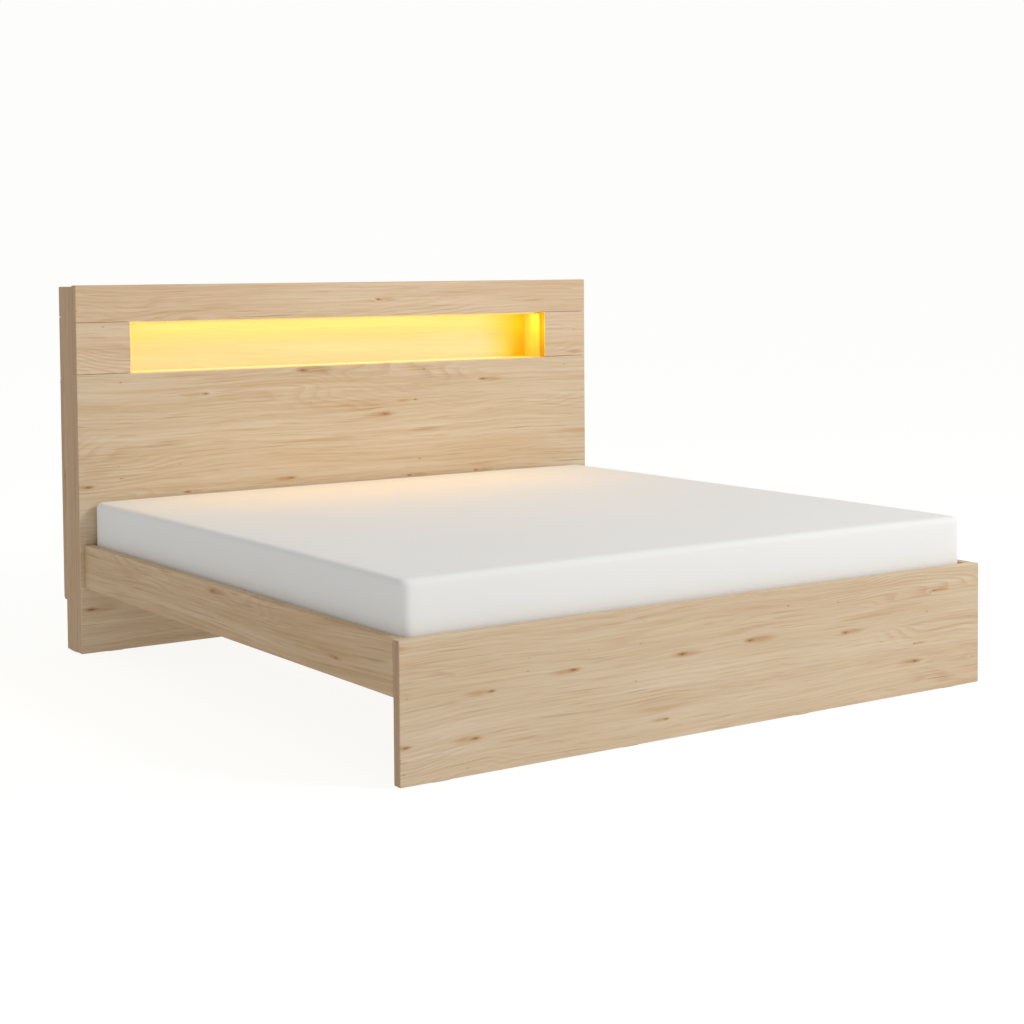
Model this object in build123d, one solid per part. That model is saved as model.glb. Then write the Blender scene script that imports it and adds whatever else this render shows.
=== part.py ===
from build123d import *
import math
import os

os.makedirs("parts", exist_ok=True)

# A double bed with a panelled headboard, in millimetres, +Z up. X runs across the bed and
# +Y points to the head end. The origin is on the floor under the middle of the whole bed.

# Mattress
mattress_width = 2000
mattress_length = 2000
mattress_thickness = 208
mattress_side_gap = 4
mattress_end_gap = 8
mattress_sink = 60
mattress_corner_round = 28
mattress_edge_round = 20
mattress_crown = 4
mattress_draw_in = 3
mattress_edge_steps = 3
crown_shares = ((0.7, 0.6), (0.4, 1))

# Side rails and footboard
rail_thickness = 30
rail_height = 146
foot_thickness = 30
bed_height = 370
edge_bevel = 1.5
board_seam = 1

# Headboard, from its front boards to its rear boards
head_height = 1237
head_overhang = 14
front_thickness = 36
cavity_depth = 92
rear_thickness = 22
panel_thickness = 22
rear_drop = 5
rear_clearance = 171
rear_bevel = 8
upright_place_share = 1 / 3

# Niche, with its lining boards set back a little from the cut in the front
top_board_height = 124
niche_height = 174
niche_end_width = 192
niche_reveal = 1
lining_thickness = 16
niche_back_thickness = 10

# Light in the niche
channel_width = 17
channel_height = 8
channel_wall = 1
channel_offset = 1
channel_end_gap = 2
strip_width = 10
strip_thickness = 1.5
diffuser_thickness = 1.2
driver_width = 60
driver_depth = 30
driver_height = 160
driver_round = 4
driver_drop = 20
gland_radius = 7
gland_height = 9

# Corner joints of the rails
bracket_plate = 3
bracket_leg = 42
bracket_rail_leg = 58
bracket_height = 68
bracket_rise = 12
bracket_bolt_inset = 16
bolt_radius = 3
bolt_reach = 22
bolt_head_radius = 5.5
bolt_head_height = 4
hexagon_side_count = 6

# Ledgers and centre beam that carry the slatted bases
ledger_rise = 2
ledger_flange = 30
ledger_plate = 3
ledger_end_gap = 70
beam_width = 60
beam_height = 40
beam_wall = 2
beam_round = 3
beam_play = 0.5
hanger_plate = 3
hanger_half_width = 54
hanger_reach = 42
hanger_lip_drop = 6
hanger_bolt_place = 44

# Centre legs with levelling feet
leg_place_shares = (1 / 3, 2 / 3)
leg_radius = 20
leg_wall = 2
leg_plate_size = 80
leg_plate_thickness = 4
leg_bolt_across = 20
leg_bolt_along = 31
leg_bolt_reach = 12
plug_flange = 3
plug_spigot = 20
plug_fit = 0.1
screw_radius = 4
screw_fit = 0.1
screw_length = 66
screw_nut_radius = 7.5
screw_nut_height = 5
pad_radius = 22
pad_height = 9
pad_socket = 6
foot_travel = 12
foot_margin = 1

# Slatted bases
base_board = 25
base_play = 2
base_end_gap = 10
cross_drop = 12
slat_count = 14
slat_width = 68
slat_thickness = 8
slat_crown = 12
slat_seat_gap = 0.3
slat_end_inset = 60
slat_play = 2
cap_wall = 3
cap_base = 5
cap_lip = 2.5
cap_length = 36
cap_setback = 1
cap_bevel = 1
cap_side_play = 0.5

# Glides and the clearance under soft parts
glide_length = 50
glide_width = 16
glide_height = 3
glide_place_shares = (-0.88, -0.3, 0.3, 0.88)
soft_gap = 0.3

# Places across the bed
rail_inner = mattress_width / 2 + mattress_side_gap
rail_outer = rail_inner + rail_thickness
head_half = rail_outer + head_overhang
side_inner = head_half - panel_thickness
niche_half = head_half - niche_end_width
lining_inner = niche_half + niche_reveal
lining_outer = lining_inner + lining_thickness
upright_middle = head_half * upright_place_share

# Places along the bed
well_length = mattress_length + 2 * mattress_end_gap
head_depth = front_thickness + cavity_depth + rear_thickness
total_length = foot_thickness + well_length + head_depth
foot_front = -total_length / 2
foot_inner = foot_front + foot_thickness
head_front = foot_inner + well_length
cavity_front = head_front + front_thickness
cavity_back = cavity_front + cavity_depth
head_back = cavity_back + rear_thickness
niche_back_front = head_back - niche_back_thickness

# Heights
rail_bottom = bed_height - rail_height
mattress_bottom = bed_height - mattress_sink
niche_top = head_height - top_board_height
niche_bottom = niche_top - niche_height
floor_top = niche_bottom - niche_reveal
floor_bottom = floor_top - lining_thickness
ceiling_bottom = niche_top + niche_reveal
ceiling_top = ceiling_bottom + lining_thickness
box_top = head_height - rear_drop
ledger_bottom = rail_bottom + ledger_rise
base_bottom = ledger_bottom + ledger_plate
beam_bottom = base_bottom - beam_height
slat_bottom = mattress_bottom - soft_gap - slat_crown - slat_thickness
base_top = slat_bottom - slat_seat_gap - cap_base

AT_CORNER = (Align.MIN, Align.MIN, Align.MIN)
ON_BASE = (Align.CENTER, Align.CENTER, Align.MIN)


def block(x_ends, y_ends, z_ends):
    """A square-edged block between two places on each axis, in either order."""
    low = [min(ends) for ends in (x_ends, y_ends, z_ends)]
    size = [max(ends) - min(ends) for ends in (x_ends, y_ends, z_ends)]
    return Pos(*low) * Box(*size, align=AT_CORNER)


def board(x_ends, y_ends, z_ends):
    """A board with all of its edges eased."""
    return chamfer(block(x_ends, y_ends, z_ends).edges(), edge_bevel)


def rod(start, direction, length, radius):
    """A round rod that begins at a point and runs along a direction."""
    return Plane(origin=start, z_dir=direction) * Cylinder(radius, length, align=ON_BASE)


def bolt(seat, direction, reach):
    """A hexagon bolt: its head bears on the seat and its shank runs along the direction."""
    plane = Plane(origin=seat, z_dir=direction)
    head = extrude(plane * RegularPolygon(bolt_head_radius, hexagon_side_count), -bolt_head_height)
    return head + rod(seat, direction, reach, bolt_radius)


def fuse(items):
    """Touching solids made one."""
    whole = items[0]
    for item in items[1:]:
        whole += item
    return whole


def bored(body, tools):
    """A body with the room for its bolts cut out."""
    for tool in tools:
        body -= tool
    return body


def group(items):
    """Separate solids kept together as one sub-part."""
    return Compound(children=[solid for item in items for solid in item.solids()])


def save(name, shape):
    export_step(shape, f"parts/{name}.step")


def joint_ends():
    """The two ends of the rails: where each meets its board and the way into that board."""
    return ((foot_inner, -1), (head_front, 1))


# Steel corner brackets inside the rails, bolted to headboard and footboard
bracket_bottom = base_bottom + bracket_rise
bracket_top = bracket_bottom + bracket_height


def bracket_bolts(end, inward, side):
    x = side * (rail_inner - bracket_leg / 2)
    heights = (bracket_bottom + bracket_bolt_inset, bracket_top - bracket_bolt_inset)
    seats = [(x, end - inward * bracket_plate, z) for z in heights]
    return [bolt(seat, (0, inward, 0), bracket_plate + bolt_reach) for seat in seats]


def make_corner_bracket(end, inward, side):
    """An angle with its two bolts fused to the leg that they clamp."""
    inner_face = side * rail_inner
    z_ends = (bracket_bottom, bracket_top)
    rail_leg = block(
        (inner_face, side * (rail_inner - bracket_plate)),
        (end, end - inward * bracket_rail_leg),
        z_ends,
    )
    board_leg = block(
        (inner_face, side * (rail_inner - bracket_leg)),
        (end, end - inward * bracket_plate),
        z_ends,
    )
    return fuse([rail_leg, board_leg, *bracket_bolts(end, inward, side)])


# Ledgers along the rails
def make_ledger(side):
    inner_face = side * rail_inner
    y_ends = (foot_inner + ledger_end_gap, head_front - ledger_end_gap)
    shelf = block(
        (inner_face, side * (rail_inner - ledger_flange)), y_ends, (ledger_bottom, base_bottom)
    )
    wall = block(
        (inner_face, side * (rail_inner - ledger_plate)),
        y_ends,
        (ledger_bottom, ledger_bottom + ledger_flange),
    )
    return shelf + wall


# Centre beam in its two hangers
def make_center_beam():
    half = beam_width / 2
    end_gap = hanger_plate + beam_play
    y_ends = (foot_inner + end_gap, head_front - end_gap)
    outside = block((-half, half), y_ends, (beam_bottom, base_bottom))
    outside = fillet(outside.edges().filter_by(Axis.Y), beam_round)
    hollow = block(
        (-half + beam_wall, half - beam_wall),
        y_ends,
        (beam_bottom + beam_wall, base_bottom - beam_wall),
    )
    return outside - hollow


def hanger_bolts(end, inward):
    middle = (beam_bottom + base_bottom) / 2
    seats = [(side * hanger_bolt_place, end - inward * hanger_plate, middle) for side in (-1, 1)]
    return [bolt(seat, (0, inward, 0), hanger_plate + bolt_reach) for seat in seats]


def make_hanger(end, inward):
    """A shoe for the beam's end, with its bolts fused to its wings."""
    seat_inner = beam_width / 2 + beam_play
    seat_outer = seat_inner + hanger_plate
    seat_bottom = beam_bottom - hanger_plate
    reach_ends = (end, end - inward * hanger_reach)
    wings = block(
        (-hanger_half_width, hanger_half_width),
        (end, end - inward * hanger_plate),
        (seat_bottom, base_bottom),
    )
    seat = block((-seat_outer, seat_outer), reach_ends, (seat_bottom, beam_bottom))
    walls = [
        block(
            (side * seat_inner, side * seat_outer),
            reach_ends,
            (seat_bottom, base_bottom - hanger_lip_drop),
        )
        for side in (-1, 1)
    ]
    return fuse([wings, seat, *walls, *hanger_bolts(end, inward)])


# Centre legs: a tube welded to a plate, bolted under the beam, with a plug in its foot
leg_places = [foot_inner + share * well_length for share in leg_place_shares]
plate_bottom = beam_bottom - leg_plate_thickness
plug_bottom = pad_height + screw_nut_height + foot_travel + foot_margin
leg_bottom = plug_bottom + plug_flange


def leg_bolts(y):
    reach = leg_plate_thickness + leg_bolt_reach
    places = [(side * leg_bolt_across, y + side * leg_bolt_along, plate_bottom) for side in (-1, 1)]
    return [bolt(place, (0, 0, 1), reach) for place in places]


def make_leg(y):
    """A leg's tube, its plate and the plate's bolts, fused."""
    half = leg_plate_size / 2
    plate = block((-half, half), (y - half, y + half), (plate_bottom, beam_bottom))
    length = plate_bottom - leg_bottom
    tube = rod((0, y, leg_bottom), (0, 0, 1), length, leg_radius)
    tube -= rod((0, y, leg_bottom), (0, 0, 1), length, leg_radius - leg_wall)
    return fuse([plate, tube, *leg_bolts(y)])


def make_plug(y):
    """The plug in the foot of a leg, bored for the levelling screw."""
    up = (0, 0, 1)
    inside = leg_radius - leg_wall - plug_fit
    plug = rod((0, y, plug_bottom), up, plug_flange, leg_radius)
    plug += rod((0, y, leg_bottom), up, plug_spigot, inside)
    return plug - rod((0, y, plug_bottom), up, plug_flange + plug_spigot, screw_radius + screw_fit)


def make_screw(y):
    """A levelling screw with the hexagon that turns it, seated in its pad."""
    seat = pad_height - pad_socket
    nut_plane = Plane(origin=(0, y, pad_height))
    nut = extrude(nut_plane * RegularPolygon(screw_nut_radius, hexagon_side_count), screw_nut_height)
    return nut + rod((0, y, seat), (0, 0, 1), screw_length, screw_radius)


def make_pad(y, screw):
    return rod((0, y, 0), (0, 0, 1), pad_height, pad_radius) - screw


# Side rails and footboard
def make_rail(side):
    x_ends = (side * rail_inner, side * rail_outer)
    return board(x_ends, (foot_inner, head_front), (rail_bottom, bed_height))


def make_footboard():
    return board((-rail_outer, rail_outer), (foot_front, foot_inner), (glide_height, bed_height))


# Front boards of the headboard, round the niche
def make_lower_board():
    return board((-head_half, head_half), (head_front, cavity_front), (glide_height, niche_bottom))


def make_top_board():
    return board((-head_half, head_half), (head_front, cavity_front), (niche_top, head_height))


def make_end_board(side):
    z_ends = (niche_bottom + board_seam, niche_top - board_seam)
    return board((side * niche_half, side * head_half), (head_front, cavity_front), z_ends)


# Box behind the front boards
def make_side_panel(side):
    return board(
        (side * side_inner, side * head_half), (cavity_front, cavity_back), (glide_height, box_top)
    )


def make_top_panel():
    z_ends = (box_top - panel_thickness, box_top)
    return board((-side_inner, side_inner), (cavity_front, cavity_back), z_ends)


def make_uprights():
    spans = ((glide_height, floor_bottom), (ceiling_top, box_top - panel_thickness))
    half = panel_thickness / 2
    return group(
        block(
            (side * upright_middle - half, side * upright_middle + half),
            (cavity_front, cavity_back),
            span,
        )
        for side in (-1, 1)
        for span in spans
    )


# Niche lining: floor and ceiling run from side panel to side panel, and their middles
# reach back between the rear boards to the niche's back
def make_lining_shelf(z_ends):
    full = block((-side_inner, side_inner), (cavity_front, cavity_back), z_ends)
    middle = block((-lining_outer, lining_outer), (cavity_back, niche_back_front), z_ends)
    return full + middle


def make_niche_end(side):
    x_ends = (side * lining_inner, side * lining_outer)
    return block(x_ends, (cavity_front, niche_back_front), (floor_top, ceiling_bottom))


def make_niche_back():
    x_ends = (-lining_outer, lining_outer)
    return board(x_ends, (niche_back_front, head_back), (floor_bottom, ceiling_top))


# Rear boards, flush with the niche's back
def make_rear_lower():
    panel = block((-head_half, head_half), (cavity_back, head_back), (rear_clearance, floor_bottom))
    foot_edge = panel.edges().filter_by(Axis.X).group_by(Axis.Z)[0].sort_by(Axis.Y)[-1]
    return chamfer(foot_edge, rear_bevel)


def make_rear_upper():
    return board((-head_half, head_half), (cavity_back, head_back), (ceiling_top, box_top))


def make_rear_end(side):
    x_ends = (side * (lining_outer + board_seam), side * head_half)
    z_ends = (floor_bottom + board_seam, ceiling_top - board_seam)
    return board(x_ends, (cavity_back, head_back), z_ends)


# Light: a channel under the front of the niche's ceiling, with its strip and diffuser
channel_front = cavity_front + channel_offset
channel_back = channel_front + channel_width
channel_bottom = ceiling_bottom - channel_height
channel_half = lining_inner - channel_end_gap
channel_middle = (channel_front + channel_back) / 2


def make_channel():
    x_ends = (-channel_half, channel_half)
    outside = block(x_ends, (channel_front, channel_back), (channel_bottom, ceiling_bottom))
    inside = block(
        x_ends,
        (channel_front + channel_wall, channel_back - channel_wall),
        (channel_bottom, ceiling_bottom - channel_wall),
    )
    return outside - inside


def make_strip():
    half = strip_width / 2
    top = ceiling_bottom - channel_wall
    return block(
        (-channel_half, channel_half),
        (channel_middle - half, channel_middle + half),
        (top - strip_thickness, top),
    )


def make_diffuser():
    return block(
        (-channel_half, channel_half),
        (channel_front + channel_wall, channel_back - channel_wall),
        (channel_bottom, channel_bottom + diffuser_thickness),
    )


# Driver behind the lower board, below the niche's end
driver_middle = (lining_outer + side_inner) / 2
driver_top = floor_bottom - driver_drop
driver_bottom = driver_top - driver_height


def make_driver():
    half = driver_width / 2
    case = block(
        (driver_middle - half, driver_middle + half),
        (cavity_front, cavity_front + driver_depth),
        (driver_bottom, driver_top),
    )
    return fillet(case.edges().filter_by(Axis.Z), driver_round)


def make_gland():
    """The closed rubber gland that a mains lead would be pushed through."""
    middle = cavity_front + driver_depth / 2
    return rod((driver_middle, middle, driver_bottom), (0, 0, -1), gland_height, gland_radius)


# Slatted bases: a frame, bowed slats, and a moulded cap for each slat's end
base_inner = base_play
base_outer = rail_inner - ledger_plate - base_play
base_y_ends = (foot_inner + base_end_gap, head_front - base_end_gap)


def make_base_frame(side):
    z_ends = (base_bottom, base_top)
    long_places = ((base_inner, base_inner + base_board), (base_outer - base_board, base_outer))
    across = (side * (base_inner + base_board), side * (base_outer - base_board))
    low, high = base_y_ends
    middle = (low + high) / 2
    half = base_board / 2
    members = [board((side * a, side * b), base_y_ends, z_ends) for a, b in long_places]
    members.append(block(across, (low, low + base_board), z_ends))
    members.append(block(across, (high - base_board, high), z_ends))
    members.append(block(across, (middle - half, middle + half), (base_bottom, base_top - cross_drop)))
    return group(members)


def slat_places():
    """The middles of the slats along the bed."""
    first = base_y_ends[0] + slat_end_inset
    last = base_y_ends[1] - slat_end_inset
    pitch = (last - first) / (slat_count - 1)
    return [first + pitch * index for index in range(slat_count)]


def make_slats(side):
    end_gap = cap_setback + cap_wall + slat_seat_gap
    left = side * (base_inner + end_gap)
    right = side * (base_outer - end_gap)
    middle = (left + right) / 2
    slat_top = slat_bottom + slat_thickness
    outline = [
        ThreePointArc((left, slat_bottom), (middle, slat_bottom + slat_crown), (right, slat_bottom)),
        Line((right, slat_bottom), (right, slat_top)),
        ThreePointArc((right, slat_top), (middle, slat_top + slat_crown), (left, slat_top)),
        Line((left, slat_top), (left, slat_bottom)),
    ]
    profile = Plane.XZ * make_face(Curve(outline))
    slat = extrude(profile, slat_width / 2, both=True)
    return group(Pos(0, y, 0) * slat for y in slat_places())


def make_caps(side):
    slot_height = slat_thickness + slat_play
    cap_height = cap_base + slot_height + cap_lip
    slot_half = slat_width / 2 + cap_side_play
    half = slot_half + cap_wall
    caps = []
    for edge, inward in ((base_inner, 1), (base_outer, -1)):
        closed_end = side * (edge + inward * cap_setback)
        open_end = closed_end + side * inward * cap_length
        body = block((closed_end, open_end), (-half, half), (base_top, base_top + cap_height))
        body = chamfer(body.edges().group_by(Axis.Z)[-1], cap_bevel)
        slot = block(
            (closed_end + side * inward * cap_wall, open_end),
            (-slot_half, slot_half),
            (base_top + cap_base, base_top + cap_base + slot_height),
        )
        caps.append(body - slot)
    return group(Pos(0, y, 0) * cap for y in slat_places() for cap in caps)


# Glides
def glide(x, y, across, along):
    half_x = across / 2
    half_y = along / 2
    return block((x - half_x, x + half_x), (y - half_y, y + half_y), (0, glide_height))


def glide_row(half_width, y):
    """The glides under a wide board, at fixed shares of its half width."""
    return [glide(share * half_width, y, glide_length, glide_width) for share in glide_place_shares]


def make_headboard_glides():
    under_board = glide_row(head_half, head_front + front_thickness / 2)
    panel_row = (cavity_front + cavity_back) / 2
    columns = (head_half - panel_thickness / 2, upright_middle)
    under_panels = [
        glide(side * x, panel_row, glide_width, glide_length) for side in (-1, 1) for x in columns
    ]
    return group(under_board + under_panels)


def make_footboard_glides():
    return group(glide_row(rail_outer, (foot_front + foot_inner) / 2))


# Mattress: its sides are drawn in between the corners, its top is crowned and its edges are round
def bowed_side(start, end, draw_in):
    """A side of the outline whose middle lies closer to the mattress's own middle."""
    middle = (start + end) / 2
    return ThreePointArc(start, middle * (1 - draw_in / middle.length), end)


def mattress_ring(inset, height):
    """The mattress's outline, made smaller by an inset, at a height above its underside."""
    half_width = mattress_width / 2 - inset
    half_length = mattress_length / 2 - inset
    corners = [
        Vector(half_width, half_length),
        Vector(-half_width, half_length),
        Vector(-half_width, -half_length),
        Vector(half_width, -half_length),
    ]
    sides = [
        bowed_side(start, end, mattress_draw_in)
        for start, end in zip(corners, corners[1:] + corners[:1])
    ]
    outline = make_face(Curve(sides))
    return Pos(0, 0, height) * fillet(outline.vertices(), mattress_corner_round)


def make_mattress():
    """Ruled bands through rings: up the round lower edge, over the upper one, onto the crown."""
    shoulder = mattress_thickness - mattress_crown
    angles = [math.pi / 2 * step / mattress_edge_steps for step in range(mattress_edge_steps + 1)]
    curl = [
        (mattress_edge_round * (1 - math.sin(angle)), mattress_edge_round * (1 - math.cos(angle)))
        for angle in angles
    ]
    rings = [mattress_ring(inset, height) for inset, height in curl]
    rings += [mattress_ring(inset, shoulder - height) for inset, height in reversed(curl)]
    for width_share, crown_share in crown_shares:
        inset = mattress_width / 2 * (1 - width_share)
        rings.append(mattress_ring(inset, shoulder + crown_share * mattress_crown))
    middle = (foot_inner + head_front) / 2
    return Pos(0, middle, mattress_bottom) * loft(rings, ruled=True)


corner_brackets = [
    make_corner_bracket(end, inward, side) for end, inward in joint_ends() for side in (-1, 1)
]
beam_hangers = [make_hanger(end, inward) for end, inward in joint_ends()]
center_legs = [make_leg(y) for y in leg_places]

save("headboard_lower_board", bored(make_lower_board(), corner_brackets[2:] + beam_hangers[1:]))
save("headboard_top_board", make_top_board())
save("headboard_top_panel", make_top_panel())
save("headboard_uprights", make_uprights())
save("niche_floor", make_lining_shelf((floor_bottom, floor_top)))
save("niche_ceiling", make_lining_shelf((ceiling_bottom, ceiling_top)))
save("niche_back", make_niche_back())
save("rear_lower_board", make_rear_lower())
save("rear_upper_board", make_rear_upper())
for side, word in ((-1, "left"), (1, "right")):
    save(f"headboard_end_board_{word}", make_end_board(side))
    save(f"headboard_side_{word}", make_side_panel(side))
    save(f"niche_end_{word}", make_niche_end(side))
    save(f"rear_end_board_{word}", make_rear_end(side))
    save(f"side_rail_{word}", make_rail(side))
    save(f"ledger_{word}", make_ledger(side))
    save(f"base_frame_{word}", make_base_frame(side))
    save(f"slats_{word}", make_slats(side))
    save(f"slat_caps_{word}", make_caps(side))

save("light_channel", make_channel())
save("light_strip", make_strip())
save("light_diffuser", make_diffuser())
save("light_driver", make_driver())
save("mains_gland", make_gland())

save("footboard", bored(make_footboard(), corner_brackets[:2] + beam_hangers[:1]))
save("corner_brackets", group(corner_brackets))
save("center_beam", bored(make_center_beam(), center_legs))
save("beam_hangers", group(beam_hangers))
save("center_legs", group(center_legs))
save("leg_plugs", group(make_plug(y) for y in leg_places))
for y, word in zip(leg_places, ("foot_end", "head_end")):
    screw = make_screw(y)
    save(f"levelling_screw_{word}", screw)
    save(f"levelling_pad_{word}", make_pad(y, screw))
save("headboard_glides", make_headboard_glides())
save("footboard_glides", make_footboard_glides())
save("mattress", make_mattress())
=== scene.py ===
import math

import bmesh
import bpy
from mathutils import Matrix, Vector, noise


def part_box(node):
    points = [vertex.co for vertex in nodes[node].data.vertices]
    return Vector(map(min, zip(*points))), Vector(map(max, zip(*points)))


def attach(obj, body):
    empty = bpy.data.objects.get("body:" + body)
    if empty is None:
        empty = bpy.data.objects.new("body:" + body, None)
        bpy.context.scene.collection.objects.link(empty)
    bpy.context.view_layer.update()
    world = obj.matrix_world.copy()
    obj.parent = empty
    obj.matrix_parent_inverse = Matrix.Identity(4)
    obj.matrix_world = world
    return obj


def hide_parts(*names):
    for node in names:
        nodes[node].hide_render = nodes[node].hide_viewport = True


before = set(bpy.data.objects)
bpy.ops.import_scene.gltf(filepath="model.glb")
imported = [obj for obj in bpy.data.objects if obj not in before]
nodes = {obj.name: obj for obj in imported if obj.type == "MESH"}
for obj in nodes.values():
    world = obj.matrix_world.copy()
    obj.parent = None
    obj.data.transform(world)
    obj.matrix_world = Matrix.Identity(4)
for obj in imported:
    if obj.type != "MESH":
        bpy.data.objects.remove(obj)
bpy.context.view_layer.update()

foot_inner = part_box("footboard")[1].y
head_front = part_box("headboard_lower_board")[0].y

# Camera, fitted to the edges of the bed in the photograph, in metres and radians, with its
# sensor and lens in millimetres
CAMERA_PLACE = Vector((-3.4199, -5.1070, 1.2838))
CAMERA_YAW = 0.59768
CAMERA_PITCH = 0.0489
CAMERA_ROLL = 0.0077
CAMERA_SENSOR = 36
CAMERA_LENS = 67.17
CAMERA_SHIFT_Y = -0.1470
CAMERA_CLIP = 200

# Studio light, as plain strengths
AMBIENT = 0.54
KEY_PLACE = Vector((4.2, -6.0, 5.3))
KEY_AIM = Vector((0.2, 0.0, 0.5))
KEY_SIZE = 2.6
KEY_POWER = 325
BACKGROUND = (0.985, 0.985, 0.968)
FLOOR_SIZE = 60
FLOOR_SHADE_SHARE = 0.2
FLOOR_TONE = 0.45
FLOOR_GLOW = 0.38

# The diffuser, with the waves to the metre that the diodes leave on it
DIFFUSER_COLOUR = (1.0, 0.70, 0.12)
DIFFUSER_GLOW = 0.6
DIFFUSER_WAVES = 60
DIFFUSER_WAVE_SHARE = 0.05

# The long lamps under the diffuser. Each is tilted from straight down to the niche's back, in
# radians, and leaves a gap at both ends, in metres; a spread in radians narrows its beam. The
# front one lies under the opening's upper edge and throws its light out of the niche
GLOW_DROP = 0.006
FRONT_LAMP_INSET = 0.003
FRONT_LAMP_WIDTH = 0.004
GLOW_LAMPS = (
    {"tilt": 1.0, "gap": 0.002, "colour": (1.0, 0.80, 0.15), "power": 1.62},
    {"tilt": 0.3, "gap": 0.02, "spread": 1.1, "colour": (1.0, 0.86, 0.24), "power": 0.42},
    {
        "tilt": -0.60,
        "gap": 0.015,
        "spread": 1.9,
        "front": True,
        "colour": (1.0, 0.50, 0.0),
        "power": 1.55,
    },
)

# The small lamps near the niche's ends: how far from the end wall, how far under and before the
# diffuser, and how far under it they aim, in metres
END_GLOW_COLOUR = (1.0, 0.76, 0.02)
END_GLOW_POWER = 0.10
END_GLOW_REACH = 0.10
END_GLOW_SIZE = 0.02
END_GLOW_DROP = 0.018
END_GLOW_FRONT = 0.022
END_GLOW_AIM_DROP = 0.09
END_GLOW_SPREAD = 2.6

# Mattress, in metres
MATTRESS_CELL = 0.025
MATTRESS_EDGE = 0.022
MATTRESS_CORNER = 0.030
MATTRESS_MARGINS = (MATTRESS_CORNER, MATTRESS_CORNER, MATTRESS_EDGE)
MATTRESS_MARGIN_STEPS = (0, 0.12, 0.3, 0.52, 0.76, 1.0)
MATTRESS_CROWN = 0.005
MATTRESS_DRAW_IN = 0.004
MATTRESS_WAVE = 0.0012
MATTRESS_RIPPLE = 0.0003


# Node trees

class Tree:
    """The node tree of a material, a world or a geometry group, with short calls for its nodes."""

    def __init__(self, tree):
        self.nodes = tree.nodes
        self.links = tree.links

    def add(self, kind, inputs=None, **settings):
        """A new node: settings are its properties, inputs are values or sockets by name or place."""
        node = self.nodes.new(kind)
        for key, value in settings.items():
            setattr(node, key, value)
        for key, value in (inputs or {}).items():
            self.feed(node.inputs[key], value)
        return node

    def feed(self, socket, value):
        if isinstance(value, bpy.types.NodeSocket):
            self.links.new(value, socket)
        else:
            socket.default_value = value

    def math(self, operation, a, b=0.0, c=0.0, clamp=False):
        node = self.add("ShaderNodeMath", {0: a, 1: b, 2: c}, operation=operation)
        node.use_clamp = clamp
        return node.outputs[0]

    def vector(self, operation, a, b):
        node = self.add("ShaderNodeVectorMath", {0: a, 1: b}, operation=operation)
        return node.outputs[0]

    def parts(self, vector):
        """The three parts of a vector, by place or axis."""
        return self.add("ShaderNodeSeparateXYZ", {0: vector}).outputs

    def noise(self, place, scale=1.0, detail=2.0, roughness=0.5):
        inputs = {"Vector": place, "Scale": scale, "Detail": detail, "Roughness": roughness}
        return self.add("ShaderNodeTexNoise", inputs).outputs["Fac"]

    def step(self, value, low, high, to_low=0.0, to_high=1.0):
        """A smooth step between two values."""
        inputs = {
            "Value": value,
            "From Min": low,
            "From Max": high,
            "To Min": to_low,
            "To Max": to_high,
        }
        node = self.add("ShaderNodeMapRange", inputs, interpolation_type="SMOOTHSTEP")
        return node.outputs["Result"]

    def mix(self, share, a, b, blend="MIX"):
        """Two colours, which the node takes in its sockets 6 and 7."""
        node = self.add("ShaderNodeMix", {0: share, 6: a, 7: b}, data_type="RGBA", blend_type=blend)
        return node.outputs[2]

    def mix_vectors(self, share, a, b):
        """Two vectors, which the node takes in its sockets 4 and 5."""
        node = self.add("ShaderNodeMix", {0: share, 4: a, 5: b}, data_type="VECTOR")
        return node.outputs[1]

    def place(self):
        return self.add("ShaderNodeTexCoord").outputs["Object"]

    def normal(self):
        return self.add("ShaderNodeTexCoord").outputs["Normal"]

    def bump(self, height, distance, strength):
        inputs = {"Height": height, "Distance": distance, "Strength": strength}
        return self.add("ShaderNodeBump", inputs).outputs["Normal"]


def finish(name, roughness=0.5, metallic=0.0, colour=(0.8, 0.8, 0.8)):
    """A new material with its principled shader, and the tree that feeds it."""
    material = bpy.data.materials.new(name)
    material.use_nodes = True
    shader = material.node_tree.nodes["Principled BSDF"]
    shader.inputs["Base Color"].default_value = (*colour, 1)
    shader.inputs["Roughness"].default_value = roughness
    shader.inputs["Metallic"].default_value = metallic
    material.diffuse_color = (*colour, 1)
    return material, Tree(material.node_tree), shader


def srgb(red, green, blue):
    """A colour given as on screen, from 0 to 255, as the linear colour of a shader."""
    def linear(value):
        value /= 255
        return value / 12.92 if value <= 0.04045 else ((value + 0.055) / 1.055) ** 2.4
    return (linear(red), linear(green), linear(blue), 1)


# Wood

OAK_TONES = {
    "light": srgb(227, 206, 177),
    "dark": srgb(202, 167, 126),
    "flame": srgb(194, 152, 106),
    "line": srgb(183, 140, 94),
    "streak": srgb(148, 104, 64),
    "knot": srgb(172, 124, 78),
    "heart": srgb(124, 82, 50),
}
PINE_TONES = {
    "light": srgb(236, 214, 172),
    "dark": srgb(224, 193, 142),
    "flame": srgb(220, 184, 128),
    "line": srgb(203, 160, 103),
    "streak": srgb(190, 140, 84),
    "knot": srgb(150, 96, 52),
    "heart": srgb(104, 62, 34),
}
BEECH_TONES = {
    "light": srgb(228, 196, 154),
    "dark": srgb(216, 178, 133),
    "flame": srgb(210, 170, 124),
    "line": srgb(198, 156, 112),
    "streak": srgb(176, 130, 88),
    "knot": srgb(170, 124, 84),
    "heart": srgb(140, 98, 64),
}
# The boards' darker end faces: partly the edge bands' colour, partly painted shade as dark as the
# ends on the dim side
BAND_AND_PAINTED_SHADE = (0.68, 0.58, 0.50, 1)

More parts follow.
